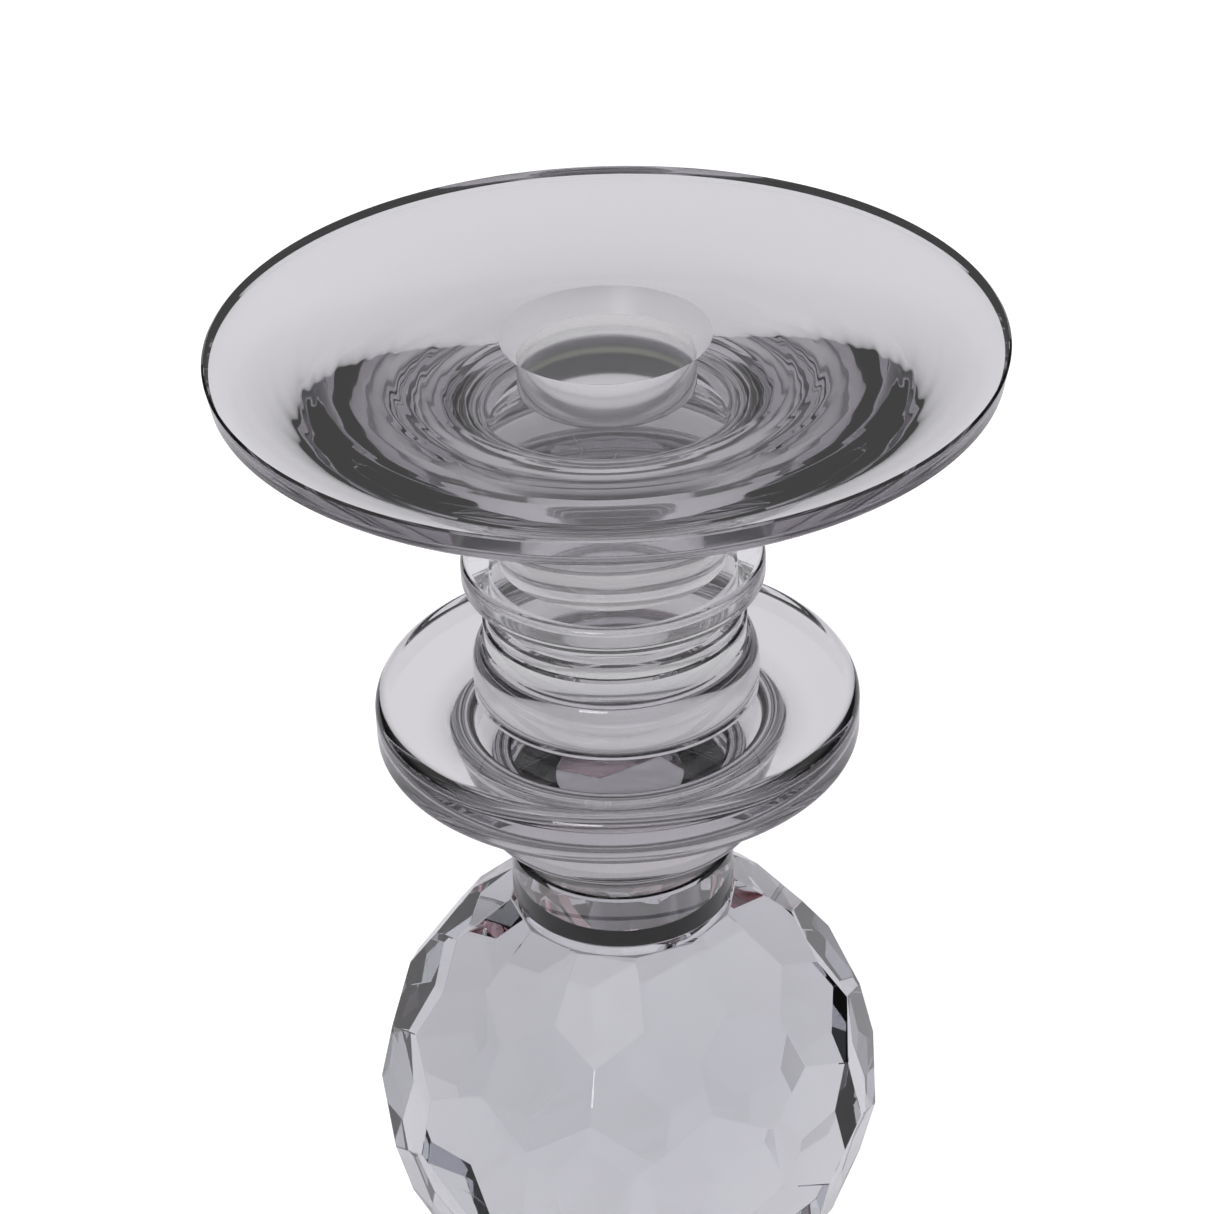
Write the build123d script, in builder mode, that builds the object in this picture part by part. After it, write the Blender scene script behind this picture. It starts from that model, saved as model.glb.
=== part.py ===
from build123d import *
import os
from math import cos, pi, radians, sin

os.makedirs("parts", exist_ok=True)

# ---------------------------------------------------------------- driving sizes, millimetres
# The stack is a row of turned and cut glass pieces on one axis, the Z axis, with z = 0 at the
# table under the feet. Every piece is bonded to the next by a thin adhesive film.

film = 0.15                # thickness of one adhesive film
film_inset = 0.3           # how far a film stays inside the smaller face it bonds
arris = 0.3                # the small polished bevel on a sharp glass edge

foot_height = 1.5
foot_r = 5.0
foot_circle_r = 36.0       # the feet stand on this circle
foot_count = 4

base_r = 50.0
base_height = 29.6
base_rim = 4.0             # height of the straight rim of the base plate

rose_r = 24.0
rose_height = 9.0

collar_r = 15.2
collar_height = 7.9

ball_table = 32.1          # ball centre to its flat top and flat bottom
ball_facet = 33.9          # ball centre to the middle facets
ball_crown_facet = 34.2    # ball centre to the facets next to the flats
ball_seat_r = 14.8         # the low turned seat on each flat
ball_seat = 1.3
ball_facets = 12           # facets in one ring
ball_turn = 20             # degrees from the X axis to the first facet
ball_blank_r = 38.0        # the round blank that the ball is cut from

saucer_r = 32.1
saucer_height = 25.1
saucer_rim = 6.9           # height of the bullnose rim
saucer_drum_r = 18.9       # the plain drum that the sweep runs down to
saucer_drum_depth = 14.8   # from the saucer's top to the drum
saucer_drum_height = 4.95
saucer_neck_r = 14.3

bell_r = 18.95
bell_band_r = 17.3
bell_height = 10.75

spacer_r = 17.0
spacer_neck_r = 16.0
spacer_height = 5.1

disc_r = 19.75
disc_height = 3.8

plate_r = 50.0
plate_height = 31.1
plate_rim = 3.5            # height of the straight rim of the candle plate
plate_taper = 0.5          # how far the rim leans in at its lower edge
plate_foot_r = 15.05
plate_reach = 48.6         # where the sweep under the plate meets the level underside
plate_spread = 1.63        # how squarely the plate's sweep leaves the rim: 2 is an ellipse
plate_lift = 2.31          # how squarely it leaves the foot
saucer_spread = 4.0
saucer_lift = 3.0
sweep_steps = 10           # points along one sweep

candle_mouth_r = 13.3      # the lead-in cone of the candle hole at the plate's top
candle_bore_r = 11.25
candle_lead = 3.0
candle_depth = 14.5
candle_corner = 3.5        # the round between the bore's wall and its floor

# ---------------------------------------------------------------- heights up the stack

base_bottom = foot_height
base_top = base_bottom + base_height
rose_bottom = base_top + film
rose_top = rose_bottom + rose_height
lower_collar_bottom = rose_top + film
lower_collar_top = lower_collar_bottom + collar_height
ball_bottom = lower_collar_top + film
ball_centre = ball_bottom + ball_seat + ball_table
ball_top = ball_centre + ball_table + ball_seat
collar_bottom = ball_top + film
collar_top = collar_bottom + collar_height
saucer_bottom = collar_top + film
saucer_top = saucer_bottom + saucer_height
bell_bottom = saucer_top + film
bell_top = bell_bottom + bell_height
spacer_bottom = bell_top + film
spacer_top = spacer_bottom + spacer_height
disc_bottom = spacer_top + film
disc_top = disc_bottom + disc_height
plate_bottom = disc_top + film
plate_top = plate_bottom + plate_height


def sweep(foot, rim, spread, lift):
    """Points of a quarter superellipse from a foot, where it is upright, to a rim, where it is level."""
    points = []
    for step in range(sweep_steps + 1):
        turn = pi / 2 * step / sweep_steps
        inward = cos(turn) ** (2 / spread)
        along = sin(turn) ** (2 / lift)
        points.append((rim[0] - (rim[0] - foot[0]) * inward, foot[1] + (rim[1] - foot[1]) * along))
    return points


# ---------------------------------------------------------------- feet, clear bumpers

for number in range(foot_count):
    turn = 2 * pi * (number + 0.5) / foot_count
    spot = (foot_circle_r * cos(turn), foot_circle_r * sin(turn))
    with BuildPart() as foot:
        with BuildSketch(Plane.XY):
            with Locations(spot):
                Circle(foot_r)
        extrude(amount=foot_height)
        fillet(foot.edges().group_by(Axis.Z)[0], foot_height / 3)
    foot.part.label = f"foot_{number + 1}"
    export_step(foot.part, f"parts/foot_{number + 1}.step")


# ---------------------------------------------------------------- base plate

# A wide flat disc that sweeps up to a neck, the candle plate upside down.
base_rim_z = base_bottom + base_rim
base_sweep = sweep((plate_foot_r, base_top), (plate_reach, base_rim_z), plate_spread, plate_lift)
with BuildPart() as base_plate:
    with BuildSketch(Plane.XZ):
        with BuildLine():
            Polyline(
                (0, base_top),
                (0, base_bottom),
                (base_r - 2 * arris, base_bottom),
                (base_r, base_bottom + 2 * arris),
                (base_r, base_rim_z - arris),
                (base_r - 2 * arris, base_rim_z),
                base_sweep[-1],
            )
            Spline(*base_sweep, tangents=[(0, -1), (1, 0)])
            Line(base_sweep[0], (0, base_top))
        make_face()
    revolve(axis=Axis.Z)
base_plate.part.label = "base_plate"
export_step(base_plate.part, "parts/base_plate.step")


# ---------------------------------------------------------------- rose glass disc

with BuildPart() as rose_disc:
    with BuildSketch(Plane.XY.offset(rose_bottom)):
        Circle(rose_r)
    extrude(amount=rose_height)
    fillet(rose_disc.edges(), rose_height / 3)
rose_disc.part.label = "rose_disc"
export_step(rose_disc.part, "parts/rose_disc.step")


# ---------------------------------------------------------------- the two smoke collars

for name, bottom in (("lower_collar", lower_collar_bottom), ("saucer_collar", collar_bottom)):
    with BuildPart() as collar:
        with BuildSketch(Plane.XY.offset(bottom)):
            Circle(collar_r)
        extrude(amount=collar_height)
        chamfer(collar.edges().group_by(Axis.Z)[0], arris)
        chamfer(collar.edges().group_by(Axis.Z)[-1], arris)
    collar.part.label = name
    export_step(collar.part, f"parts/{name}.step")


# ---------------------------------------------------------------- faceted ball

# Cut the way a faceter cuts it: a round blank loses one flat after another. Each ring of flats
# is given by its latitude, its distance from the centre and its turn in half steps.
facet_rings = (
    (12.5, ball_facet, 0),
    (-12.5, ball_facet, 1),
    (35.0, ball_facet, 1),
    (-35.0, ball_facet, 0),
    (49.5, ball_crown_facet, 0),
    (-49.5, ball_crown_facet, 1),
)
ball_seats_height = 2 * (ball_table + ball_seat)
with BuildPart() as faceted_ball:
    with Locations((0, 0, ball_centre)):
        Sphere(ball_blank_r)
    for latitude, distance, half_steps in facet_rings:
        for number in range(ball_facets):
            turn = 2 * pi * (number + half_steps / 2) / ball_facets + radians(ball_turn)
            normal = (
                cos(radians(latitude)) * cos(turn),
                cos(radians(latitude)) * sin(turn),
                sin(radians(latitude)),
            )
            middle = (
                distance * normal[0],
                distance * normal[1],
                ball_centre + distance * normal[2],
            )
            split(bisect_by=Plane(origin=middle, z_dir=normal), keep=Keep.BOTTOM)
    split(bisect_by=Plane.XY.offset(ball_centre + ball_table), keep=Keep.BOTTOM)
    split(bisect_by=Plane.XY.offset(ball_centre - ball_table), keep=Keep.TOP)
    with BuildSketch(Plane.XY.offset(ball_bottom)):
        Circle(ball_seat_r)
    extrude(amount=ball_seats_height)
faceted_ball.part.label = "faceted_ball"
export_step(faceted_ball.part, "parts/faceted_ball.step")


# ---------------------------------------------------------------- middle saucer

saucer_round = 2.2         # the round on the rim's upper edge
saucer_heel = 1.1          # height of the round on its lower edge
saucer_heel_in = 0.7
saucer_heel_r = 1.2
saucer_neck = 1.6          # height of the straight neck
saucer_rim_z = saucer_top - saucer_rim
saucer_drum_z = saucer_top - saucer_drum_depth
saucer_cove_z = saucer_drum_z - saucer_drum_height
saucer_sweep = sweep(
    (saucer_drum_r, saucer_drum_z),
    (saucer_r - saucer_heel_in, saucer_rim_z),
    saucer_spread,
    saucer_lift,
)
with BuildPart() as middle_saucer:
    with BuildSketch(Plane.XZ):
        with BuildLine():
            Line((0, saucer_bottom), (0, saucer_top))
            Line((0, saucer_top), (saucer_r - saucer_round, saucer_top))
            RadiusArc(
                (saucer_r - saucer_round, saucer_top),
                (saucer_r, saucer_top - saucer_round),
                saucer_round,
            )
            Line(
                (saucer_r, saucer_top - saucer_round),
                (saucer_r, saucer_rim_z + saucer_heel),
            )
            RadiusArc((saucer_r, saucer_rim_z + saucer_heel), saucer_sweep[-1], saucer_heel_r)
            Spline(*saucer_sweep, tangents=[(0, 1), (1, 0)])
            Line(saucer_sweep[0], (saucer_drum_r, saucer_cove_z))
            EllipticalCenterArc(
                (saucer_drum_r, saucer_bottom + saucer_neck),
                saucer_drum_r - saucer_neck_r,
                saucer_cove_z - saucer_bottom - saucer_neck,
                start_angle=90,
                arc_size=90,
            )
            Line((saucer_neck_r, saucer_bottom + saucer_neck), (saucer_neck_r, saucer_bottom))
            Line((saucer_neck_r, saucer_bottom), (0, saucer_bottom))
        make_face()
    revolve(axis=Axis.Z)
middle_saucer.part.label = "middle_saucer"
export_step(middle_saucer.part, "parts/middle_saucer.step")


# ---------------------------------------------------------------- bell

bell_band = 3.1            # height of the plain band at the top
bell_lip = 0.6             # height of the thin lip at the foot
bell_belly = 3.0           # height of the fullest part
bell_lip_bevel = 0.15
bell_lip_r = bell_r - 0.1
bell_waist_r = bell_r - 0.5
with BuildPart() as bell:
    with BuildSketch(Plane.XZ):
        with BuildLine():
            Polyline(
                (0, bell_bottom),
                (0, bell_top),
                (bell_band_r - arris, bell_top),
                (bell_band_r, bell_top - arris),
                (bell_band_r, bell_top - bell_band),
                (bell_band_r - arris, bell_top - bell_band - arris),
            )
            Spline(
                (bell_band_r - arris, bell_top - bell_band - arris),
                (bell_r, bell_bottom + bell_belly),
                (bell_waist_r, bell_bottom + bell_lip),
                tangents=[(1.0, -0.45), (-0.45, -1.0)],
            )
            Polyline(
                (bell_waist_r, bell_bottom + bell_lip),
                (bell_lip_r, bell_bottom + bell_lip - bell_lip_bevel),
                (bell_lip_r, bell_bottom),
                (0, bell_bottom),
            )
        make_face()
    revolve(axis=Axis.Z)
bell.part.label = "bell"
export_step(bell.part, "parts/bell.step")


# ---------------------------------------------------------------- neck spacer

spacer_step_z = spacer_bottom + 1.8
groove = 0.35              # depth and half height of the turned groove
with BuildPart() as neck_spacer:
    with BuildSketch(Plane.XZ):
        with BuildLine():
            Polyline(
                (0, spacer_bottom),
                (0, spacer_top),
                (spacer_neck_r, spacer_top),
                (spacer_neck_r, spacer_step_z + 3 * groove),
                (spacer_neck_r - groove, spacer_step_z + 2 * groove),
                (spacer_neck_r, spacer_step_z + groove),
                (spacer_neck_r, spacer_step_z),
                (spacer_r - arris, spacer_step_z),
                (spacer_r, spacer_step_z - arris),
                (spacer_r, spacer_bottom + arris),
                (spacer_r - arris, spacer_bottom),
                (0, spacer_bottom),
            )
        make_face()
    revolve(axis=Axis.Z)
neck_spacer.part.label = "neck_spacer"
export_step(neck_spacer.part, "parts/neck_spacer.step")


# ---------------------------------------------------------------- upper disc

with BuildPart() as upper_disc:
    with BuildSketch(Plane.XY.offset(disc_bottom)):
        Circle(disc_r)
    extrude(amount=disc_height)
    fillet(upper_disc.edges().group_by(Axis.Z)[-1], disc_height / 4)
    fillet(upper_disc.edges().group_by(Axis.Z)[0], disc_height / 3)
upper_disc.part.label = "upper_disc"
export_step(upper_disc.part, "parts/upper_disc.step")


# ---------------------------------------------------------------- candle plate

plate_rim_z = plate_top - plate_rim
plate_sweep = sweep(
    (plate_foot_r, plate_bottom), (plate_reach, plate_rim_z), plate_spread, plate_lift
)
bore_floor_z = plate_top - candle_lead - candle_depth - candle_corner
with BuildPart() as candle_plate:
    with BuildSketch(Plane.XZ):
        with BuildLine():
            Line((0, plate_bottom), (0, bore_floor_z))
            Line((0, bore_floor_z), (candle_bore_r - candle_corner, bore_floor_z))
            RadiusArc(
                (candle_bore_r - candle_corner, bore_floor_z),
                (candle_bore_r, bore_floor_z + candle_corner),
                -candle_corner,
            )
            Polyline(
                (candle_bore_r, bore_floor_z + candle_corner),
                (candle_bore_r, plate_top - candle_lead),
                (candle_mouth_r, plate_top),
                (plate_r - arris, plate_top),
                (plate_r, plate_top - arris),
                (plate_r - plate_taper, plate_rim_z + arris),
                (plate_r - plate_taper - arris, plate_rim_z),
                plate_sweep[-1],
            )
            Spline(*plate_sweep, tangents=[(0, 1), (1, 0)])
            Line(plate_sweep[0], (0, plate_bottom))
        make_face()
    revolve(axis=Axis.Z)
candle_plate.part.label = "candle_plate"
export_step(candle_plate.part, "parts/candle_plate.step")


# ---------------------------------------------------------------- adhesive films

# Each film is named after the piece that stands on it, and is a little smaller than its bond.
film_beds = (
    ("film_rose_disc", base_top, plate_foot_r),
    ("film_lower_collar", rose_top, collar_r - arris),
    ("film_ball", lower_collar_top, ball_seat_r),
    ("film_collar", ball_top, ball_seat_r),
    ("film_saucer", collar_top, saucer_neck_r),
    ("film_bell", saucer_top, bell_waist_r),
    ("film_spacer", bell_top, spacer_r - arris),
    ("film_disc", spacer_top, spacer_neck_r),
    ("film_plate", disc_top, plate_foot_r),
)
for name, height, bond_r in film_beds:
    with BuildPart() as adhesive:
        with BuildSketch(Plane.XY.offset(height)):
            Circle(bond_r - film_inset)
        extrude(amount=film)
    adhesive.part.label = name
    export_step(adhesive.part, f"parts/{name}.step")
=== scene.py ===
import logging
import math
from dataclasses import dataclass, field
from enum import Enum

import bmesh
import bpy
from mathutils import Matrix, Vector


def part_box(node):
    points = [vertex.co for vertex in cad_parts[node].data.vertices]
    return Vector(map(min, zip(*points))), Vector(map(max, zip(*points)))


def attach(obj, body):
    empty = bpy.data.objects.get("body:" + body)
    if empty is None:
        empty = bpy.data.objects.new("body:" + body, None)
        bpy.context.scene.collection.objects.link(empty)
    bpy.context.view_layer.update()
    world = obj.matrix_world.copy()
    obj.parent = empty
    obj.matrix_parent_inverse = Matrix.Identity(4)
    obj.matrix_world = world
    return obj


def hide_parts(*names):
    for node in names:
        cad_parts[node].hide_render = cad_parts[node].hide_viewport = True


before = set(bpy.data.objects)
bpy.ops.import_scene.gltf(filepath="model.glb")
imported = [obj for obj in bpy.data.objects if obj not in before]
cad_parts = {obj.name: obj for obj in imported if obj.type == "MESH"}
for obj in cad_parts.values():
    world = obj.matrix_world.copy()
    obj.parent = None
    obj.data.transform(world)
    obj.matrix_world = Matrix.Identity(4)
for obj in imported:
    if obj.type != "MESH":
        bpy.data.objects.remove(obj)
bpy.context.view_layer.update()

MM = 0.001
# The bonds are 0.15 mm thick. Each neighbour reaches a little past the middle of its bond, so that
# two bonded pieces meet inside it and pass light as one block of glass does.
PRESS = 0.095 * MM
GROUND = "ground_face"
BODY = "root"
Point = tuple[float, float]
Colour = tuple[float, float, float]
Zone = tuple[float, float, float]
log = logging.getLogger("candlestick")


# ------------------------------------------------------------------ shader node sheets


class NodeSheet:
    """A node tree with short calls for adding, setting and joining nodes."""

    def __init__(self, tree: bpy.types.NodeTree) -> None:
        """Start from an empty tree.

        Args:
            tree: the material's, world's or group's node tree.
        """
        self.tree = tree
        tree.nodes.clear()

    def add(self, kind: str, **settings: object) -> bpy.types.Node:
        """Add a node.

        Args:
            kind: the node's Blender type name.
            settings: attributes of the node, set by name.

        Returns:
            The new node.
        """
        node = self.tree.nodes.new(kind)
        for name, value in settings.items():
            setattr(node, name, value)
        return node

    def join(self, source: bpy.types.NodeSocket, target: bpy.types.NodeSocket) -> None:
        """Link one socket to another."""
        self.tree.links.new(source, target)

    def math(
        self,
        operation: str,
        first: bpy.types.NodeSocket | float,
        second: bpy.types.NodeSocket | float = 0.0,
    ) -> bpy.types.NodeSocket:
        """Combine two values.

        Args:
            operation: the Math node's operation.
            first: a socket or a plain number.
            second: a socket or a plain number.

        Returns:
            The socket that holds the result.
        """
        node = self.add("ShaderNodeMath", operation=operation)
        for slot, value in zip(node.inputs, (first, second)):
            if isinstance(value, bpy.types.NodeSocket):
                self.join(value, slot)
            else:
                slot.default_value = value
        return node.outputs[0]

    def spread(
        self, source: bpy.types.NodeSocket, low: float, high: float
    ) -> bpy.types.NodeSocket:
        """Stretch the range low to high over 0 to 1 and clamp it.

        Args:
            source: the value to stretch.
            low: the value that becomes 0.
            high: the value that becomes 1.

        Returns:
            The stretched value's socket.
        """
        node = self.add("ShaderNodeMapRange")
        node.inputs["From Min"].default_value = low
        node.inputs["From Max"].default_value = high
        self.join(source, node.inputs["Value"])
        return node.outputs["Result"]

    def noise(
        self, place: bpy.types.NodeSocket, scale: float, detail: float = 2.0
    ) -> bpy.types.NodeSocket:
        """Add a noise texture.

        Args:
            place: the coordinates it is read at.
            scale: its grain, in waves per metre.
            detail: how many finer layers it has.

        Returns:
            The noise value's socket.
        """
        node = self.add("ShaderNodeTexNoise")
        node.inputs["Scale"].default_value = scale
        node.inputs["Detail"].default_value = detail
        self.join(place, node.inputs["Vector"])
        return node.outputs["Fac"]


class GroupSheet(NodeSheet):
    """A node group with named inputs and outputs, built once and kept for every material."""

    def __init__(self, name: str, inputs: dict[str, float], outputs: tuple[str, ...]) -> None:
        """Make the group and its sockets.

        Args:
            name: the group's name.
            inputs: each input's name and default value.
            outputs: the names of the outputs, all plain values.
        """
        self.group = bpy.data.node_groups.new(name, "ShaderNodeTree")
        super().__init__(self.group)
        for label, value in inputs.items():
            socket = self.group.interface.new_socket(
                label, in_out="INPUT", socket_type="NodeSocketFloat"
            )
            socket.default_value = value
        for label in outputs:
            self.group.interface.new_socket(
                label, in_out="OUTPUT", socket_type="NodeSocketFloat"
            )
        self.given = self.add("NodeGroupInput").outputs
        self.result = self.add("NodeGroupOutput").inputs


def handling_group() -> bpy.types.NodeTree:
    """Build the marks that hands and dusters leave on polished glass.

    Returns:
        A group with inputs Polish, Smudge and Scratch, and outputs Roughness and Height.
    """
    smear_grain, smear_starts, smear_full = 38.0, 0.52, 0.74
    scratch_cells, scratch_width = 46.0, 0.006
    rare_grain, rare_starts, rare_full = 95.0, 0.62, 0.7
    sheet = GroupSheet(
        "handling_marks",
        {"Polish": 0.0, "Smudge": 0.03, "Scratch": 0.2},
        ("Roughness", "Height"),
    )
    place = sheet.add("ShaderNodeTexCoord").outputs["Object"]
    smear = sheet.spread(sheet.noise(place, smear_grain, 3.0), smear_starts, smear_full)
    streak = sheet.add("ShaderNodeTexVoronoi", feature="DISTANCE_TO_EDGE")
    streak.inputs["Scale"].default_value = scratch_cells
    sheet.join(place, streak.inputs["Vector"])
    away = sheet.spread(streak.outputs["Distance"], 0.0, scratch_width)
    line = sheet.math("SUBTRACT", 1.0, away)
    rare = sheet.spread(sheet.noise(place, rare_grain, 1.0), rare_starts, rare_full)
    scratch = sheet.math("MULTIPLY", line, rare)
    hazed = sheet.math("MULTIPLY", smear, sheet.given["Smudge"])
    scored = sheet.math("MULTIPLY", scratch, sheet.given["Scratch"])
    marks = sheet.math("ADD", hazed, scored)
    sheet.join(sheet.math("ADD", marks, sheet.given["Polish"]), sheet.result["Roughness"])
    sheet.join(sheet.math("SUBTRACT", smear, scored), sheet.result["Height"])
    return sheet.group


def turning_group() -> bpy.types.NodeTree:
    """Build the fine rings that a polishing wheel leaves round the axis of a turned piece.

    Returns:
        A group with the input Pitch, rings per metre, and the output Height.
    """
    sheet = GroupSheet("turning_rings", {"Pitch": 700.0}, ("Height",))
    place = sheet.add("ShaderNodeTexCoord").outputs["Object"]
    split = sheet.add("ShaderNodeSeparateXYZ")
    sheet.join(place, split.inputs["Vector"])
    across = sheet.math("MULTIPLY", split.outputs["X"], split.outputs["X"])
    along = sheet.math("MULTIPLY", split.outputs["Y"], split.outputs["Y"])
    radius = sheet.math("SQRT", sheet.math("ADD", across, along))
    ring = sheet.add("ShaderNodeCombineXYZ")
    sheet.join(sheet.math("MULTIPLY", radius, sheet.given["Pitch"]), ring.inputs["X"])
    sheet.join(sheet.noise(ring.outputs["Vector"], 1.0, 2.0), sheet.result["Height"])
    return sheet.group


# ------------------------------------------------------------------ finishes


class Slot(Enum):
    """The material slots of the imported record."""

    SMOKE = "smoke_glass"
    CLEAR = "clear_glass"
    ROSE = "rose_glass"
    ADHESIVE = "adhesive"
    FOOT = "foot_plastic"


@dataclass(frozen=True)
class GlassFinish:
    """Polished glass: a tint that deepens with thickness, and the marks of making and use."""

    slot: Slot
    tint: Colour
    depth: float
    surface: Colour = (1.0, 1.0, 1.0)
    ior: float = 1.52
    polish: float = 0.0
    smudge: float = 0.03
    scratch: float = 0.2
    ring_pitch: float = 700.0
    relief: float = 0.02
    relief_depth: float = 0.1 * MM
    ground: float = 0.32

    def material(self) -> bpy.types.Material:
        """Build the finish's node material, or give the one already built.

        Returns:
            The material, named after its slot.
        """
        name = f"{self.slot.value}_finish"
        if name in bpy.data.materials:
            return bpy.data.materials[name]
        material = bpy.data.materials.new(name)
        material.use_nodes = True
        sheet = NodeSheet(material.node_tree)
        output = sheet.add("ShaderNodeOutputMaterial")
        glass = sheet.add("ShaderNodeBsdfPrincipled")
        glass.inputs["Base Color"].default_value = (*self.surface, 1.0)
        glass.inputs["Metallic"].default_value = 0.0
        glass.inputs["Transmission Weight"].default_value = 1.0
        glass.inputs["IOR"].default_value = self.ior
        marks = sheet.add("ShaderNodeGroup", node_tree=bpy.data.node_groups["handling_marks"])
        marks.inputs["Polish"].default_value = self.polish
        marks.inputs["Smudge"].default_value = self.smudge
        marks.inputs["Scratch"].default_value = self.scratch
        rings = sheet.add("ShaderNodeGroup", node_tree=bpy.data.node_groups["turning_rings"])
        rings.inputs["Pitch"].default_value = self.ring_pitch
        bump = sheet.add("ShaderNodeBump")
        bump.inputs["Strength"].default_value = self.relief
        bump.inputs["Distance"].default_value = self.relief_depth
        height = sheet.math("ADD", marks.outputs["Height"], rings.outputs["Height"])
        sheet.join(height, bump.inputs["Height"])
        sheet.join(bump.outputs["Normal"], glass.inputs["Normal"])
        ground = sheet.add("ShaderNodeAttribute", attribute_name=GROUND).outputs["Fac"]
        matt = sheet.math("MULTIPLY", ground, self.ground)
        sheet.join(sheet.math("ADD", marks.outputs["Roughness"], matt), glass.inputs["Roughness"])
        sheet.join(glass.outputs["BSDF"], output.inputs["Surface"])
        if self.depth > 0:
            body = sheet.add("ShaderNodeVolumeAbsorption")
            body.inputs["Color"].default_value = (*self.tint, 1.0)
            body.inputs["Density"].default_value = self.depth
            sheet.join(body.outputs["Volume"], output.inputs["Volume"])
        return material


@dataclass(frozen=True)
class PlasticFinish:
    """Soft clear plastic, slightly cloudy, with a faint grain from its mould."""

    slot: Slot
    colour: Colour
    ior: float = 1.45
    roughness: float = 0.28
    clearness: float = 0.75
    smudge: float = 0.15
    grain: float = 4000.0
    relief: float = 0.2
    relief_depth: float = 0.05 * MM

    def material(self) -> bpy.types.Material:
        """Build the finish's node material.

        Returns:
            The material, named after its slot.
        """
        material = bpy.data.materials.new(f"{self.slot.value}_finish")
        material.use_nodes = True
        sheet = NodeSheet(material.node_tree)
        output = sheet.add("ShaderNodeOutputMaterial")
        plastic = sheet.add("ShaderNodeBsdfPrincipled")
        plastic.inputs["Base Color"].default_value = (*self.colour, 1.0)
        plastic.inputs["IOR"].default_value = self.ior
        plastic.inputs["Transmission Weight"].default_value = self.clearness
        marks = sheet.add("ShaderNodeGroup", node_tree=bpy.data.node_groups["handling_marks"])
        marks.inputs["Polish"].default_value = self.roughness
        marks.inputs["Smudge"].default_value = self.smudge
        place = sheet.add("ShaderNodeTexCoord").outputs["Object"]
        bump = sheet.add("ShaderNodeBump")
        bump.inputs["Strength"].default_value = self.relief
        bump.inputs["Distance"].default_value = self.relief_depth
        sheet.join(sheet.noise(place, self.grain), bump.inputs["Height"])
        sheet.join(bump.outputs["Normal"], plastic.inputs["Normal"])
        sheet.join(marks.outputs["Roughness"], plastic.inputs["Roughness"])
        sheet.join(plastic.outputs["BSDF"], output.inputs["Surface"])
        return material


SMOKE = GlassFinish(Slot.SMOKE, tint=(0.70, 0.685, 0.71), depth=45.0, relief=0.006)
CLEAR = GlassFinish(Slot.CLEAR, tint=(0.928, 0.931, 0.941), depth=62.0, relief=0.004)
ROSE = GlassFinish(Slot.ROSE, tint=(0.96, 0.55, 0.60), depth=60.0)
# The glass on both sides meets inside a bond, so the bond only tints the light and doesn't bend it.
ADHESIVE = GlassFinish(
    Slot.ADHESIVE, tint=(0.9, 0.85, 0.75), depth=200.0, ior=1.0, smudge=0.02, scratch=0.0
)
FOOT = PlasticFinish(Slot.FOOT, colour=(0.88, 0.89, 0.90))


# ------------------------------------------------------------------ turned outlines


@dataclass(frozen=True)
class Ripple:
    """The slight waves that hand polishing leaves along a turned sweep."""

    depth: float
    pitches: tuple[float, ...] = (5.3 * MM, 2.9 * MM, 1.7 * MM)

    def at(self, run: float) -> float:
        """Give the height of the waves after a run along the sweep, in metres."""
        waves = (math.sin(2 * math.pi * run / pitch) * pitch for pitch in self.pitches)
        return self.depth * sum(waves) / sum(self.pitches)


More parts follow.
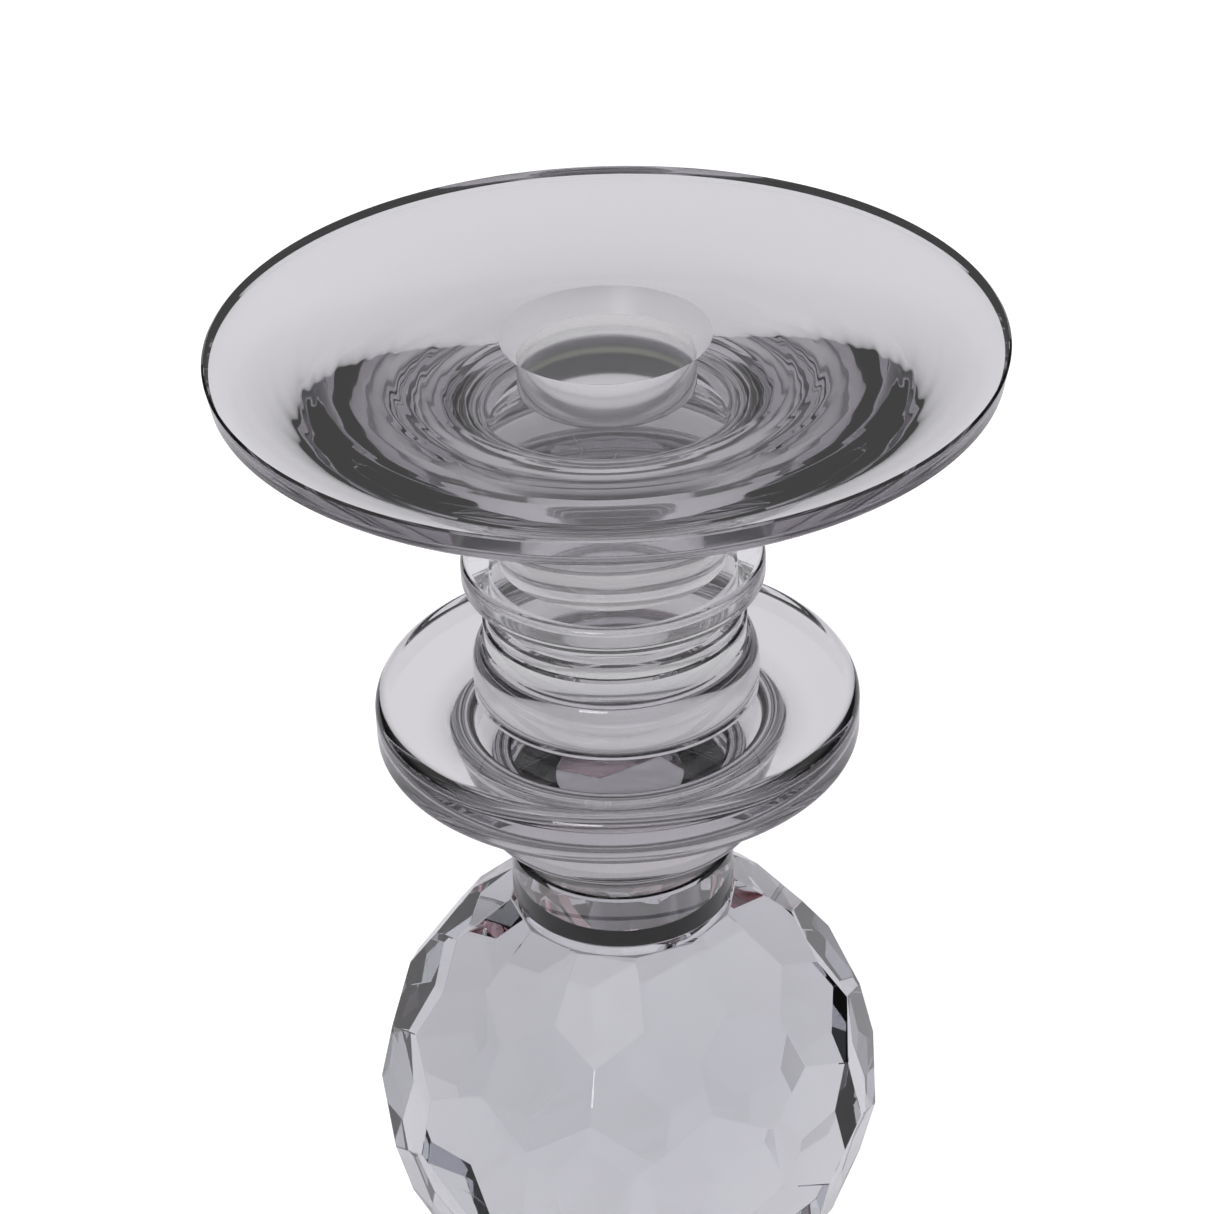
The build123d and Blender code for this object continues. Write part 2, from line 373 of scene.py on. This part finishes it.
@dataclass
class Outline:
    """A turned outline: radius and height, up the outside from the axis and back to the axis."""

    points: list[Point] = field(default_factory=list)

    def line(self, *points: Point) -> "Outline":
        """Go straight from point to point.

        Args:
            points: where the outline goes, one after another.

        Returns:
            The outline, so that calls can be chained.
        """
        self.points.extend(points)
        return self

    def ellipse(
        self,
        centre: Point,
        radii: Point,
        start: float,
        end: float,
        steps: int,
        ripple: Ripple | None = None,
    ) -> "Outline":
        """Follow part of an ellipse.

        Args:
            centre: the ellipse's centre.
            radii: its half widths, across and up.
            start: the first angle, in degrees from the outward direction.
            end: the last angle.
            steps: how many straight steps stand for it.
            ripple: waves to lay on it, which fade out at its ends.

        Returns:
            The outline, so that calls can be chained.
        """
        run = 0.0
        last: Point | None = None
        for step in range(steps + 1):
            share = step / steps
            angle = math.radians(start + (end - start) * share)
            across, up = math.cos(angle), math.sin(angle)
            here = (centre[0] + radii[0] * across, centre[1] + radii[1] * up)
            if last is not None:
                run += math.dist(here, last)
            last = here
            if ripple is not None:
                lift = ripple.at(run) * math.sin(math.pi * share) ** 0.5
                here = (here[0] + lift * across, here[1] + lift * up)
            self.points.append(here)
        return self

    def sweep(
        self, foot: Point, rim: Point, curve: Point, steps: int, ripple: Ripple
    ) -> "Outline":
        """Follow a quarter superellipse from an upright foot to a level rim.

        Args:
            foot: where the sweep stands upright.
            rim: where it lies level.
            curve: its two exponents, for spread and for lift; 2 and 2 make an ellipse.
            steps: how many straight steps stand for it.
            ripple: waves to lay on it, which fade out at its ends.

        Returns:
            The outline, so that calls can be chained.
        """
        run = 0.0
        last = foot
        for step in range(steps + 1):
            share = step / steps
            turn = math.pi / 2 * share
            inward = max(math.cos(turn), 0.0) ** (2 / curve[0])
            along = math.sin(turn) ** (2 / curve[1])
            here = (
                rim[0] - (rim[0] - foot[0]) * inward,
                foot[1] + (rim[1] - foot[1]) * along,
            )
            run += math.dist(here, last)
            last = here
            lift = ripple.at(run) * math.sin(math.pi * share) ** 0.5
            self.points.append((here[0] - lift * math.cos(turn), here[1] + lift * math.sin(turn)))
        return self

    def tidy(self, closer: float = 0.001 * MM) -> list[Point]:
        """Drop points that repeat the one before.

        Args:
            closer: points nearer than this are one point.

        Returns:
            The points that are left.
        """
        kept: list[Point] = []
        for point in self.points:
            if not kept or math.dist(point, kept[-1]) > closer:
                kept.append(point)
        return kept


def spin(name: str, points: list[Point], segments: int, crisp: float = 22.0) -> bpy.types.Object:
    """Turn an outline round the Z axis into a closed mesh.

    Args:
        name: the new object's name.
        points: the outline, from the axis round to the axis.
        segments: how many steps make the full turn.
        crisp: a bend sharper than this many degrees stays a crisp edge.

    Returns:
        The new object, linked to the scene.
    """
    sheet = bmesh.new()
    rings: list[list[bmesh.types.BMVert]] = []
    for radius, height in points:
        if radius < 1e-7:
            rings.append([sheet.verts.new((0.0, 0.0, height))])
            continue
        turns = (2 * math.pi * k / segments for k in range(segments))
        rings.append(
            [sheet.verts.new((radius * math.cos(t), radius * math.sin(t), height)) for t in turns]
        )
    for low, high in zip(rings, rings[1:]):
        for k in range(segments):
            corners = [
                low[k % len(low)],
                low[(k + 1) % len(low)],
                high[(k + 1) % len(high)],
                high[k % len(high)],
            ]
            face = sheet.faces.new(dict.fromkeys(corners))
            face.smooth = True
    for before, here, after, ring in zip(points, points[1:], points[2:], rings[1:]):
        inward = math.atan2(here[1] - before[1], here[0] - before[0])
        outward = math.atan2(after[1] - here[1], after[0] - here[0])
        bend = abs(math.remainder(outward - inward, 2 * math.pi))
        if math.degrees(bend) > crisp and len(ring) > 1:
            for k in range(segments):
                edge = sheet.edges.get((ring[k], ring[(k + 1) % segments]))
                edge.smooth = False
    mesh = bpy.data.meshes.new(name)
    sheet.to_mesh(mesh)
    sheet.free()
    piece = bpy.data.objects.new(name, mesh)
    bpy.context.scene.collection.objects.link(piece)
    return piece


# ------------------------------------------------------------------ glass pieces


@dataclass
class GlassPiece:
    """A piece of the stack that stands for one node of the frame."""

    node: str
    finish: GlassFinish = SMOKE
    segments: int = 256
    press_below: float = PRESS
    press_above: float = PRESS

    @property
    def foot(self) -> float:
        """The height of the piece's underside, pressed into the bond below it."""
        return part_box(self.node)[0][2] - self.press_below

    @property
    def top(self) -> float:
        """The height of the piece's top, pressed into the bond above it."""
        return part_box(self.node)[1][2] + self.press_above

    @property
    def radius(self) -> float:
        """The piece's largest radius."""
        low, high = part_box(self.node)
        return (high[0] - low[0]) / 2

    def outline(self) -> Outline:
        """Draw the piece's turned outline; each kind of piece has its own."""
        raise NotImplementedError

    def shape(self) -> bpy.types.Object:
        """Build the piece's mesh."""
        return spin(f"{self.node}_glass", self.outline().tidy(), self.segments)

    def matt_zones(self) -> list[Zone]:
        """Each matt zone's radius, lowest height and share; most pieces are polished all over."""
        return []

    def build(self) -> bpy.types.Object:
        """Build the piece, dress it and set it in the place of its node.

        Returns:
            The finished piece.
        """
        piece = self.shape()
        matt = piece.data.attributes.new(GROUND, "FLOAT", "FACE")
        zones = self.matt_zones()
        for face in piece.data.polygons if zones else ():
            out = math.hypot(face.center.x, face.center.y)
            shares = (
                share
                for within, lowest, share in zones
                if out < within and face.center.z > lowest
            )
            matt.data[face.index].value = max(shares, default=0.0)
        piece.data.materials.append(self.finish.material())
        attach(piece, BODY)
        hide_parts(self.node)
        log.info("%s: %d faces", piece.name, len(piece.data.polygons))
        return piece


@dataclass
class CandlePlate(GlassPiece):
    """The wide top plate, with a trumpet underside and the candle hole."""

    node: str = "candle_plate"
    arris: float = 0.3 * MM
    rim: float = 3.5 * MM
    reach: float = 48.6 * MM
    curve: Point = (1.63, 2.31)
    foot_r: float = 15.05 * MM
    mouth_r: float = 13.3 * MM
    bore_r: float = 11.25 * MM
    lead: float = 3.0 * MM
    depth: float = 14.5 * MM
    floor_round: float = 3.5 * MM
    rim_foot_in: float = 0.8 * MM
    rim_side_in: float = 0.5 * MM
    sweep_steps: int = 200
    floor_steps: int = 12
    cone_matt: float = 1.0
    wall_matt: float = 0.3
    press_above: float = 0.0
    ripple: Ripple = Ripple(0.012 * MM)

    def outline(self) -> Outline:
        """Draw foot, neck, sweep, rim, top face and candle hole.

        Returns:
            The plate's outline.
        """
        rim = self.top - self.rim
        wall_foot = self.top - self.lead - self.depth
        foot, reach = (self.foot_r, self.foot), (self.reach, rim)
        return (
            Outline()
            .line((0.0, self.foot))
            .sweep(foot, reach, self.curve, self.sweep_steps, self.ripple)
            .line((self.radius - self.rim_foot_in, rim))
            .line((self.radius - self.rim_side_in, rim + self.arris))
            .line((self.radius, self.top - self.arris), (self.radius - self.arris, self.top))
            .line((self.mouth_r, self.top), (self.bore_r, self.top - self.lead))
            .line((self.bore_r, wall_foot))
            .ellipse(
                (self.bore_r - self.floor_round, wall_foot),
                (self.floor_round, self.floor_round),
                0,
                -90,
                self.floor_steps,
            )
            .line((0.0, wall_foot - self.floor_round))
        )

    def matt_zones(self) -> list[Zone]:
        """Give the candle hole's lead-in cone, ground and left matt, and its satin wall.

        Returns:
            The two zones.
        """
        hair = 0.01 * MM
        cone = self.top - self.lead
        floor = cone - self.depth - self.floor_round
        return [
            (self.mouth_r, cone, self.cone_matt),
            (self.bore_r + hair, floor - hair, self.wall_matt),
        ]


@dataclass
class RoundedDisc(GlassPiece):
    """A plain disc with rounded edges above and below."""

    upper_round: float = 1.0 * MM
    lower_round: float = 1.0 * MM
    steps: int = 14

    def outline(self) -> Outline:
        """Draw the underside, the two rounds and the top.

        Returns:
            The disc's outline.
        """
        low, high = self.lower_round, self.upper_round
        return (
            Outline()
            .line((0.0, self.foot))
            .ellipse((self.radius - low, self.foot + low), (low, low), -90, 0, self.steps)
            .ellipse((self.radius - high, self.top - high), (high, high), 0, 90, self.steps)
            .line((0.0, self.top))
        )


@dataclass
class NeckSpacer(GlassPiece):
    """A short drum with a wider foot and one fine groove."""

    node: str = "neck_spacer"
    finish: GlassFinish = CLEAR
    neck_r: float = 16.0 * MM
    step: float = 1.8 * MM
    groove: float = 0.35 * MM
    arris: float = 0.3 * MM

    def outline(self) -> Outline:
        """Draw the wider foot, the step, the groove and the neck.

        Returns:
            The spacer's outline.
        """
        step = self.foot + self.step
        return (
            Outline()
            .line((0.0, self.foot), (self.radius - self.arris, self.foot))
            .line((self.radius, self.foot + self.arris), (self.radius, step - self.arris))
            .line((self.radius - self.arris, step), (self.neck_r, step))
            .line((self.neck_r, step + self.groove))
            .line((self.neck_r - self.groove, step + 2 * self.groove))
            .line((self.neck_r, step + 3 * self.groove), (self.neck_r, self.top))
            .line((0.0, self.top))
        )


@dataclass
class Bell(GlassPiece):
    """A bead with a plain band above, a full belly and a thin lip at its foot."""

    node: str = "bell"
    finish: GlassFinish = CLEAR
    band_r: float = 17.3 * MM
    band: float = 3.1 * MM
    arris: float = 0.3 * MM
    belly: float = 3.0 * MM
    waist_r: float = 18.45 * MM
    lip: float = 0.6 * MM
    lip_in: float = 0.1 * MM
    lip_drop: float = 0.15 * MM
    groove: float = 0.35 * MM
    belly_steps: tuple[int, int] = (16, 24)

    def outline(self) -> Outline:
        """Draw the lip, the belly, the groove and the band.

        Returns:
            The bell's outline.
        """
        shoulder = self.top - self.band - self.arris
        belly = self.foot + self.belly
        waist = self.foot + self.lip
        lip_r = self.radius - self.lip_in
        lower, upper = self.belly_steps
        return (
            Outline()
            .line((0.0, self.foot), (lip_r, self.foot))
            .line((lip_r, waist - self.lip_drop), (self.waist_r, waist))
            .ellipse((self.waist_r, belly), (self.radius - self.waist_r, belly - waist), -90, 0, lower)
            .ellipse(
                (self.band_r - self.arris, belly),
                (self.radius - self.band_r + self.arris, shoulder - belly),
                0,
                90,
                upper,
            )
            .line((self.band_r - self.arris - self.groove, shoulder + self.groove / 2))
            .line((self.band_r, shoulder + self.groove + self.arris))
            .line((self.band_r, self.top - self.arris))
            .line((self.band_r - self.arris, self.top), (0.0, self.top))
        )


@dataclass
class MiddleSaucer(GlassPiece):
    """The middle disc: a bullnose rim, a sweep under it, a drum and a cove down to a neck."""

    node: str = "middle_saucer"
    rim: float = 6.9 * MM
    rim_round: float = 2.2 * MM
    heel: float = 1.1 * MM
    heel_in: float = 0.7 * MM
    curve: Point = (4.0, 3.0)
    drum_depth: float = 14.8 * MM
    drum: float = 4.95 * MM
    drum_r: float = 18.9 * MM
    neck_r: float = 14.3 * MM
    neck: float = 1.6 * MM
    cove_steps: int = 24
    sweep_steps: int = 120
    heel_steps: int = 10
    rim_steps: int = 20
    ripple: Ripple = Ripple(0.008 * MM)

    def outline(self) -> Outline:
        """Draw the neck, the cove, the drum, the sweep, the rim and the flat top.

        Returns:
            The saucer's outline.
        """
        drum = self.top - self.drum_depth
        cove = drum - self.drum
        rim = self.top - self.rim
        under_r = self.radius - self.heel_in
        return (
            Outline()
            .line((0.0, self.foot), (self.neck_r, self.foot))
            .ellipse(
                (self.drum_r, self.foot + self.neck),
                (self.drum_r - self.neck_r, cove - self.foot - self.neck),
                180,
                90,
                self.cove_steps,
            )
            .sweep((self.drum_r, drum), (under_r, rim), self.curve, self.sweep_steps, self.ripple)
            .ellipse((under_r, rim + self.heel), (self.heel_in, self.heel), -90, 0, self.heel_steps)
            .ellipse(
                (self.radius - self.rim_round, self.top - self.rim_round),
                (self.rim_round, self.rim_round),
                0,
                90,
                self.rim_steps,
            )
            .line((0.0, self.top))
        )


@dataclass
class Collar(GlassPiece):
    """A short smoke drum with bevelled edges, wetted by its lower bond as far as its pad."""

    arris: float = 0.3 * MM
    pad_r: float = 0.0
    pad: float = 0.17 * MM

    def outline(self) -> Outline:
        """Draw the pad, the drum and its two bevels.

        Returns:
            The collar's outline.
        """
        start = Outline()
        if self.pad_r > 0:
            start.line((0.0, self.foot - self.pad), (self.pad_r, self.foot - self.pad))
            start.line((self.pad_r, self.foot))
        else:
            start.line((0.0, self.foot))
        return (
            start.line((self.radius - self.arris, self.foot))
            .line((self.radius, self.foot + self.arris), (self.radius, self.top - self.arris))
            .line((self.radius - self.arris, self.top), (0.0, self.top))
        )


@dataclass
class BasePlate(GlassPiece):
    """The foot of the stack: a wide disc that sweeps up to a neck."""

    node: str = "base_plate"
    bevel: float = 0.6 * MM
    arris: float = 0.3 * MM
    rim: float = 4.0 * MM
    reach: float = 48.6 * MM
    curve: Point = (1.63, 2.31)
    top_r: float = 15.05 * MM
    sweep_steps: int = 180
    press_below: float = 0.0
    ripple: Ripple = Ripple(-0.012 * MM)

    def outline(self) -> Outline:
        """Draw the flat underside, the rim and the sweep, whose points run down from the neck.

        Returns:
            The base's outline.
        """
        rim = self.foot + self.rim
        neck, reach = (self.top_r, self.top), (self.reach, rim)
        sweep = Outline().sweep(neck, reach, self.curve, self.sweep_steps, self.ripple)
        return (
            Outline()
            .line((0.0, self.foot), (self.radius - self.bevel, self.foot))
            .line((self.radius, self.foot + self.bevel), (self.radius, rim - self.arris))
            .line((self.radius - self.bevel, rim))
            .line(*reversed(sweep.points))
            .line((0.0, self.top))
        )


@dataclass
class AdhesiveFilm(GlassPiece):
    """A bond: a thin disc with a rounded edge, squeezed between two glass faces."""

    finish: GlassFinish = ADHESIVE
    segments: int = 128
    press_below: float = 0.0
    press_above: float = 0.0
    edge_steps: int = 10

    def outline(self) -> Outline:
        """Draw the disc and its rounded edge.

        Returns:
            The film's outline.
        """
        low, high = self.foot, self.top
        half = (high - low) / 2
        return (
            Outline()
            .line((0.0, low))
            .ellipse((self.radius - half, low + half), (half, half), -90, 90, self.edge_steps)
            .line((0.0, high))
        )


@dataclass
class FacetedBall(GlassPiece):
    """The cut ball: rings of flats on a round blank, and a low turned seat above and below."""

    node: str = "faceted_ball"
    finish: GlassFinish = CLEAR
    table: float = 32.1 * MM
    middle_flat: float = 33.9 * MM
    crown_flat: float = 34.2 * MM
    seat_r: float = 14.8 * MM
    facets: int = 12
    first: float = 20.0
    middle_slope: float = 12.5
    shoulder_slope: float = 35.0
    crown_slope: float = 49.5
    arris: float = 0.09 * MM
    blank_spare: float = 6.0 * MM
    seat_steps: int = 96

    @property
    def rings(self) -> tuple[tuple[float, float, int], ...]:
        """List the rings of flats.

        Returns:
            Each ring's latitude in degrees, its distance from the centre and its half steps.
        """
        return (
            (self.middle_slope, self.middle_flat, 0),
            (-self.middle_slope, self.middle_flat, 1),
            (self.shoulder_slope, self.middle_flat, 1),
            (-self.shoulder_slope, self.middle_flat, 0),
            (self.crown_slope, self.crown_flat, 0),
            (-self.crown_slope, self.crown_flat, 1),
            (90.0, self.table, 0),
            (-90.0, self.table, 0),
        )

    def cut(self, blank: bmesh.types.BMesh, normal: Vector, distance: float) -> None:
        """Grind one flat on the blank and close it with a face.

        Args:
            blank: the blank, centred on the origin.
            normal: the flat's outward direction.
            distance: how far the flat lies from the centre.
        """
        everything = [*blank.verts, *blank.edges, *blank.faces]
        bmesh.ops.bisect_plane(
            blank, geom=everything, plane_co=normal * distance, plane_no=normal, clear_outer=True
        )
        rim = [edge for edge in blank.edges if edge.is_boundary]
        if rim:
            bmesh.ops.holes_fill(blank, edges=rim, sides=0)

    def raise_seat(self, blank: bmesh.types.BMesh, side: float, height: float) -> None:
        """Replace the middle of a flat end with the low round seat.

        Args:
            blank: the cut ball, centred on the origin.
            side: 1.0 for the upper flat, -1.0 for the lower.
            height: how far the seat stands out.
        """
        end = max(blank.faces, key=lambda face: face.normal.z * side * face.calc_area())
        outer = list(end.edges)
        blank.faces.remove(end)
        turns = [2 * math.pi * k / self.seat_steps for k in range(self.seat_steps)]

        def ring(level: float) -> list[bmesh.types.BMVert]:
            """Add one ring of points at a height."""
            spots = ((self.seat_r * math.cos(t), self.seat_r * math.sin(t), level) for t in turns)
            return [blank.verts.new(spot) for spot in spots]

        foot = ring(side * self.table)
        lip = ring(side * (self.table + height))
        inner = []
        for k in range(self.seat_steps):
            after = (k + 1) % self.seat_steps
            wall = blank.faces.new((foot[k], foot[after], lip[after], lip[k]))
            wall.smooth = True
            inner.append(blank.edges.get((foot[k], foot[after])))
            inner[-1].smooth = False
            blank.edges.get((lip[k], lip[after])).smooth = False
        blank.faces.new(lip)
        bmesh.ops.triangle_fill(blank, edges=outer + inner, use_beauty=True)

    def shape(self) -> bpy.types.Object:
        """Cut the ball, bevel its edges and raise its seats.

        Returns:
            The new object, linked to the scene.
        """
        blank = bmesh.new()
        bmesh.ops.create_cube(blank, size=2 * (self.table + self.blank_spare))
        for latitude, distance, half_steps in self.rings:
            count = 1 if abs(latitude) == 90.0 else self.facets
            level = math.radians(latitude)
            for number in range(count):
                turn = 2 * math.pi * (number + half_steps / 2) / self.facets
                turn += math.radians(self.first)
                normal = Vector(
                    (
                        math.cos(level) * math.cos(turn),
                        math.cos(level) * math.sin(turn),
                        math.sin(level),
                    )
                )
                self.cut(blank, normal, distance)
        bmesh.ops.bevel(
            blank,
            geom=list(blank.edges),
            offset=self.arris,
            segments=1,
            affect="EDGES",
            clamp_overlap=True,
        )
        seat = (self.top - self.foot) / 2 - self.table
        blank.normal_update()
        self.raise_seat(blank, 1.0, seat)
        self.raise_seat(blank, -1.0, seat)
        bmesh.ops.recalc_face_normals(blank, faces=list(blank.faces))
        bmesh.ops.translate(blank, vec=(0, 0, (self.top + self.foot) / 2), verts=list(blank.verts))
        mesh = bpy.data.meshes.new(f"{self.node}_glass")
        blank.to_mesh(mesh)
        blank.free()
        piece = bpy.data.objects.new(mesh.name, mesh)
        bpy.context.scene.collection.objects.link(piece)
        return piece


@dataclass
class Feet:
    """The clear bumpers under the base, which keep their own meshes."""

    finish: PlasticFinish = FOOT
    count: int = 4

    def build(self) -> None:
        """Give each foot its plastic."""
        material = self.finish.material()
        for number in range(self.count):
            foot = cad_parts[f"foot_{number + 1}"]
            foot.data.materials.clear()
            foot.data.materials.append(material)
            log.info("%s: dressed", foot.name)


# ------------------------------------------------------------------ studio


@dataclass(frozen=True)
class Softbox:
    """A plain rectangular lamp that faces a point on the stack and isn't seen through glass."""

    name: str
    place: tuple[float, float, float]
    size: tuple[float, float]
    power: float
    aim: tuple[float, float, float] = (0.0, 0.0, 0.12)

    def build(self) -> None:
        """Hang the lamp and turn it to its aim."""
        lamp = bpy.data.lights.new(self.name, "AREA")
        lamp.shape = "RECTANGLE"
        lamp.size, lamp.size_y = self.size
        lamp.energy = self.power
        holder = bpy.data.objects.new(self.name, lamp)
        holder.location = self.place
        toward = Vector(self.aim) - Vector(self.place)
        holder.rotation_euler = toward.to_track_quat("-Z", "Y").to_euler()
        holder.visible_camera = False
        holder.visible_transmission = False
        bpy.context.scene.collection.objects.link(holder)


@dataclass(frozen=True)
class Viewpoint:
    """Where the camera stands before the plate, in plate radii, and how it leans, in degrees."""

    back: float = 7.1187
    above: float = 3.6805
    tilt: float = 32.187
    turn: float = -0.1566
    roll: float = -1.9419
    lens: float = 95.62
    sensor: float = 36.0
    nearest: float = 0.01

    def build(self) -> None:
        """Set up the camera, which looks down at the candle plate from in front."""
        top = Vector((0.0, 0.0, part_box("candle_plate")[1][2]))
        plate_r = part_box("candle_plate")[1][0]
        tilt, turn, roll = (math.radians(angle) for angle in (self.tilt, self.turn, self.roll))
        forward = Vector(
            (math.sin(turn) * math.cos(tilt), math.cos(turn) * math.cos(tilt), -math.sin(tilt))
        )
        right = Vector((math.cos(turn), -math.sin(turn), 0.0))
        over = right.cross(forward)
        leaned_right = right * math.cos(roll) + over * math.sin(roll)
        leaned_over = over * math.cos(roll) - right * math.sin(roll)
        camera = bpy.data.cameras.new("camera")
        camera.sensor_width = self.sensor
        camera.lens = self.lens
        camera.clip_start = self.nearest
        stand = bpy.data.objects.new("camera", camera)
        facing = Matrix((leaned_right, leaned_over, -forward)).transposed().to_4x4()
        spot = top + Vector((0.0, -self.back * plate_r, self.above * plate_r))
        stand.matrix_world = Matrix.Translation(spot) @ facing
        bpy.context.scene.collection.objects.link(stand)
        bpy.context.scene.camera = stand


@dataclass
class Studio:
    """The pale floor, the soft sky, the lamps and the camera.

    Seen directly, the floor and the sky are near white. Seen through the glass or in it, the floor
    is a little darker and the sky is a banded dome, which gives the glass its dark and light lines.
    """

    floor_size: float = 8.0
    floor_colour: Colour = (0.9, 0.9, 0.9)
    floor_through_glass: Colour = (0.80, 0.785, 0.82)
    floor_glow: float = 0.35
    floor_shine: float = 0.2
    floor_grain: float = 900.0
    sky: tuple[tuple[float, Colour], ...] = (
        (0.0, (0.08, 0.08, 0.085)),
        (0.07, (0.05, 0.05, 0.055)),
        (0.10, (0.20, 0.21, 0.17)),
        (0.13, (0.06, 0.06, 0.065)),
        (0.22, (0.09, 0.085, 0.10)),
        (0.27, (0.26, 0.25, 0.28)),
        (0.31, (0.08, 0.08, 0.085)),
        (0.42, (0.42, 0.42, 0.43)),
        (0.6, (0.8, 0.8, 0.8)),
        (1.0, (0.85, 0.85, 0.85)),
    )
    seen_sky: float = 0.95
    exposure: float = 0.0
    lamps: tuple[Softbox, ...] = (
        Softbox("overhead_bank", (0.0, -0.5, 2.2), (2.0, 2.0), 13.0),
        Softbox("front_bank", (-0.6, -1.6, 1.3), (0.7, 0.4), 7.0),
    )
    viewpoint: Viewpoint = Viewpoint()
    bounces: int = 32
    firefly_limit: float = 6.0

    def lay_floor(self) -> None:
        """Lay the floor, a very slightly mottled pale board."""
        half = self.floor_size / 2
        mesh = bpy.data.meshes.new("floor")
        corners = [(-half, -half, 0.0), (half, -half, 0.0), (half, half, 0.0), (-half, half, 0.0)]
        mesh.from_pydata(corners, [], [(0, 1, 2, 3)])
        floor = bpy.data.objects.new("floor", mesh)
        bpy.context.scene.collection.objects.link(floor)
        material = bpy.data.materials.new("pale_board")
        material.use_nodes = True
        sheet = NodeSheet(material.node_tree)
        output = sheet.add("ShaderNodeOutputMaterial")
        place = sheet.add("ShaderNodeTexCoord").outputs["Object"]
        smoothest, roughest = -1.2, 1.6
        grain = sheet.spread(sheet.noise(place, self.floor_grain, 3.0), smoothest, roughest)
        mix = sheet.add("ShaderNodeMixShader")
        sheet.join(sheet.add("ShaderNodeLightPath").outputs["Is Camera Ray"], mix.inputs["Fac"])
        sides = ((1, self.floor_through_glass, 0.0), (2, self.floor_colour, self.floor_glow))
        for slot, colour, glow in sides:
            board = sheet.add("ShaderNodeBsdfPrincipled")
            board.inputs["Base Color"].default_value = (*colour, 1.0)
            board.inputs["Specular IOR Level"].default_value = self.floor_shine
            board.inputs["Emission Color"].default_value = (1.0, 1.0, 1.0, 1.0)
            board.inputs["Emission Strength"].default_value = glow
            sheet.join(grain, board.inputs["Roughness"])
            sheet.join(board.outputs["BSDF"], mix.inputs[slot])
        sheet.join(mix.outputs["Shader"], output.inputs["Surface"])
        mesh.materials.append(material)

    def hang_sky(self) -> None:
        """Light everything from a soft dome that darkens in bands toward the horizon."""
        world = bpy.data.worlds.new("soft_dome")
        world.use_nodes = True
        bpy.context.scene.world = world
        sheet = NodeSheet(world.node_tree)
        output = sheet.add("ShaderNodeOutputWorld")
        split = sheet.add("ShaderNodeSeparateXYZ")
        sheet.join(sheet.add("ShaderNodeTexCoord").outputs["Generated"], split.inputs["Vector"])
        ramp = sheet.add("ShaderNodeValToRGB")
        sheet.join(split.outputs["Z"], ramp.inputs["Fac"])
        stops = ramp.color_ramp.elements
        while len(stops) < len(self.sky):
            stops.new(0.5)
        for stop, (height, colour) in zip(stops, self.sky):
            stop.position = height
            stop.color = (*colour, 1.0)
        dome = sheet.add("ShaderNodeBackground")
        sheet.join(ramp.outputs["Color"], dome.inputs["Color"])
        plain = sheet.add("ShaderNodeBackground")
        plain.inputs["Color"].default_value = (self.seen_sky, self.seen_sky, self.seen_sky, 1.0)
        mix = sheet.add("ShaderNodeMixShader")
        sheet.join(sheet.add("ShaderNodeLightPath").outputs["Is Camera Ray"], mix.inputs["Fac"])
        sheet.join(dome.outputs["Background"], mix.inputs[1])
        sheet.join(plain.outputs["Background"], mix.inputs[2])
        sheet.join(mix.outputs["Shader"], output.inputs["Surface"])

    def build(self) -> None:
        """Set up the whole studio."""
        self.lay_floor()
        self.hang_sky()
        for lamp in self.lamps:
            lamp.build()
        self.viewpoint.build()
        scene = bpy.context.scene
        scene.view_settings.view_transform = "Standard"
        scene.view_settings.exposure = self.exposure
        scene.cycles.max_bounces = self.bounces
        scene.cycles.transmission_bounces = self.bounces
        scene.cycles.sample_clamp_indirect = self.firefly_limit
        scene.cycles.use_denoising = True
        log.info("studio: %d lamps", len(self.lamps))


# ------------------------------------------------------------------ the whole object


def main() -> None:
    """Build every piece of the candlestick in order, from the top down, then the studio."""
    logging.basicConfig(level=logging.INFO, format="%(name)s %(message)s")
    handling_group()
    turning_group()
    pieces: list[GlassPiece] = [
        CandlePlate(),
        RoundedDisc("upper_disc", CLEAR, upper_round=0.95 * MM, lower_round=1.27 * MM),
        NeckSpacer(),
        Bell(),
        MiddleSaucer(),
        Collar("saucer_collar", press_below=0.0, pad_r=8.5 * MM),
        FacetedBall(press_above=0.0),
        Collar("lower_collar"),
        RoundedDisc("rose_disc", ROSE, upper_round=3.0 * MM, lower_round=3.0 * MM),
        BasePlate(),
    ]
    bonds = sorted(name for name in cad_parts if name.startswith("film_"))
    pieces += [AdhesiveFilm(name) for name in bonds]
    for piece in pieces:
        piece.build()
    Feet().build()
    Studio().build()


if __name__ == "__main__":
    main()
